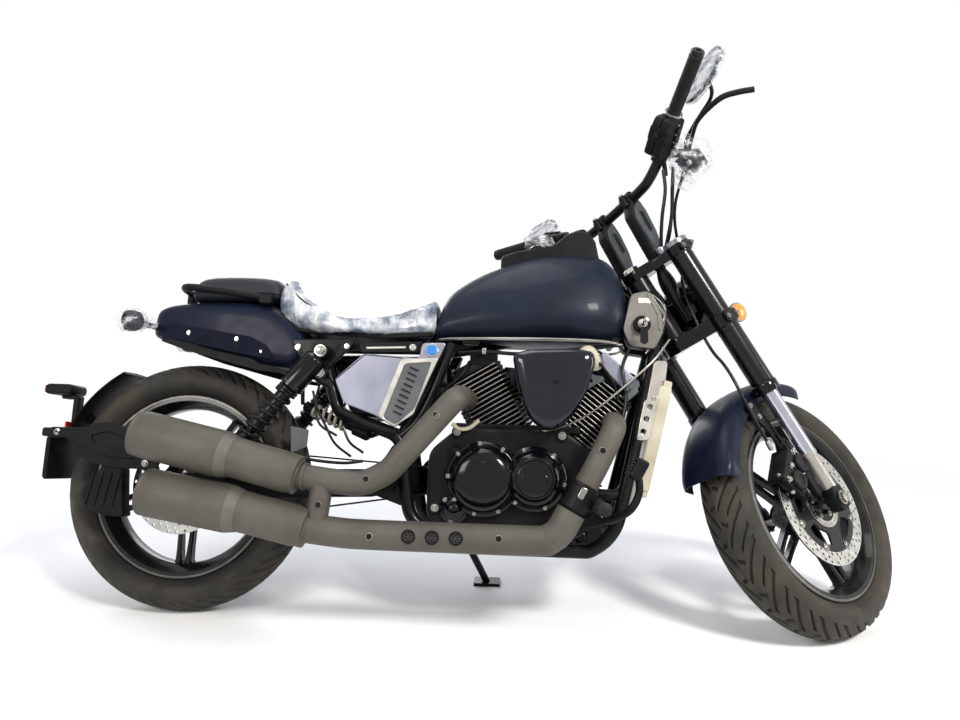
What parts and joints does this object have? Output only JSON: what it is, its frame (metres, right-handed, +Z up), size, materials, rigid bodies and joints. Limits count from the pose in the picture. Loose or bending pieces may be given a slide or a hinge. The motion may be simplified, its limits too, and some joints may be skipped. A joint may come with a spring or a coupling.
{
  "type": "cruiser motorcycle",
  "caption": "Cruiser motorcycle with V-twin engine, stacked exhausts and cast wheels, leaning on its side stand, bars turned left.",
  "frame": {"origin": "middle of the parked machine's bounding box, on the floor", "axes": "+X forwards along the chassis, +Y to the rider's left, +Z up; the machine leans towards +Y"},
  "size_m": [2.243, 0.943, 1.4443],
  "materials": {
    "frame_black": "satin",
    "engine_black": "gloss",
    "tank_navy": "satin",
    "silver_paint": "satin",
    "exhaust_coat": "matte",
    "seat_vinyl": "satin",
    "protective_film": "wrinkled film",
    "tyre_rubber": "matte, dusty",
    "wheel_black": "satin",
    "disc_steel": "machined",
    "plain_steel": "zinc plated",
    "fork_grey": "satin anodised",
    "riser_grey": "satin",
    "black_plastic": "moulded",
    "grip_rubber": "matte",
    "belt_rubber": "matte",
    "lamp_lens": "lens",
    "red_lens": "lens",
    "headlamp_glass": "clear",
    "mirror_glass": "polished",
    "plate_blank": "blank",
    "cable_black": "satin",
    "lock_blue": "gloss"
  },
  "bodies": {
    "chassis": {"frame_backbone": "frame_black", "frame_cradle": "frame_black", "engine_case": "engine_black", "engine_covers": "engine_black", "cylinders": "engine_black", "air_cleaner": "engine_black", "fuel_tank": "tank_navy", "instrument_console": "black_plastic", "tail_cowl": "tank_navy", "rider_seat": "seat_vinyl", "pillion_pad": "seat_vinyl", "grab_rail": "frame_black", "side_covers": "silver_paint", "battery_box": "black_plastic", "radiator": "frame_black", "radiator_covers": "silver_paint", "head_side_covers": "silver_paint", "swingarm": "frame_black", "swingarm_bridge": "frame_black", "shock_absorbers": "frame_black", "rear_axle": "plain_steel", "drive_belt": "belt_rubber", "exhaust_pipes": "exhaust_coat", "mufflers": "exhaust_coat", "exhaust_stay": "frame_black", "plate_bracket": "black_plastic", "rear_hugger": "black_plastic", "licence_plate": "plate_blank", "rear_lamps": "black_plastic", "rear_caliper": "engine_black", "rider_pegs": "frame_black", "foot_controls": "frame_black", "stand_bracket": "frame_black"},
    "steering": {"lower_yoke": "frame_black", "top_yoke": "frame_black", "handlebar": "frame_black", "risers": "riser_grey", "grips": "grip_rubber", "switches": "black_plastic", "levers": "frame_black", "brake_master": "black_plastic", "mirrors": "black_plastic", "fork_legs": "fork_grey", "front_axle": "plain_steel", "front_fender": "tank_navy", "fender_stays": "frame_black", "front_caliper": "engine_black", "headlight": "frame_black", "front_brake_hose": "cable_black", "front_signals": "lamp_lens"},
    "front_wheel": {"front_tyre": "tyre_rubber", "front_rim": "wheel_black", "front_disc": "disc_steel"},
    "rear_wheel": {"rear_tyre": "tyre_rubber", "rear_rim": "wheel_black", "rear_disc": "disc_steel", "rear_pulley": "wheel_black"},
    "side_stand": {"side_stand": "frame_black"}
  },
  "joints": [
    {"name": "steering_stem", "type": "hinge", "parent": "chassis", "child": "steering", "pos_m": [0.49399, -0.05068, 0.77935], "axis": [-0.5136, 0.1632, 0.8424], "range_deg": [-78, 0]},
    {"name": "front_wheel_spin", "type": "hinge", "parent": "steering", "child": "front_wheel", "pos_m": [0.85013, -0.10638, 0.28176], "axis": [-0.5408, 0.7007, -0.4655], "continuous": true},
    {"name": "rear_wheel_spin", "type": "hinge", "parent": "chassis", "child": "rear_wheel", "pos_m": [-0.71466, -0.1432, 0.3097], "axis": [-0.001, 0.9816, -0.1908], "continuous": true},
    {"name": "side_stand_pivot", "type": "hinge", "parent": "chassis", "child": "side_stand", "pos_m": [-0.01536, -0.02011, 0.17411], "axis": [0.1531, 0.8343, 0.5296], "range_deg": [0, 115]}
  ]
}
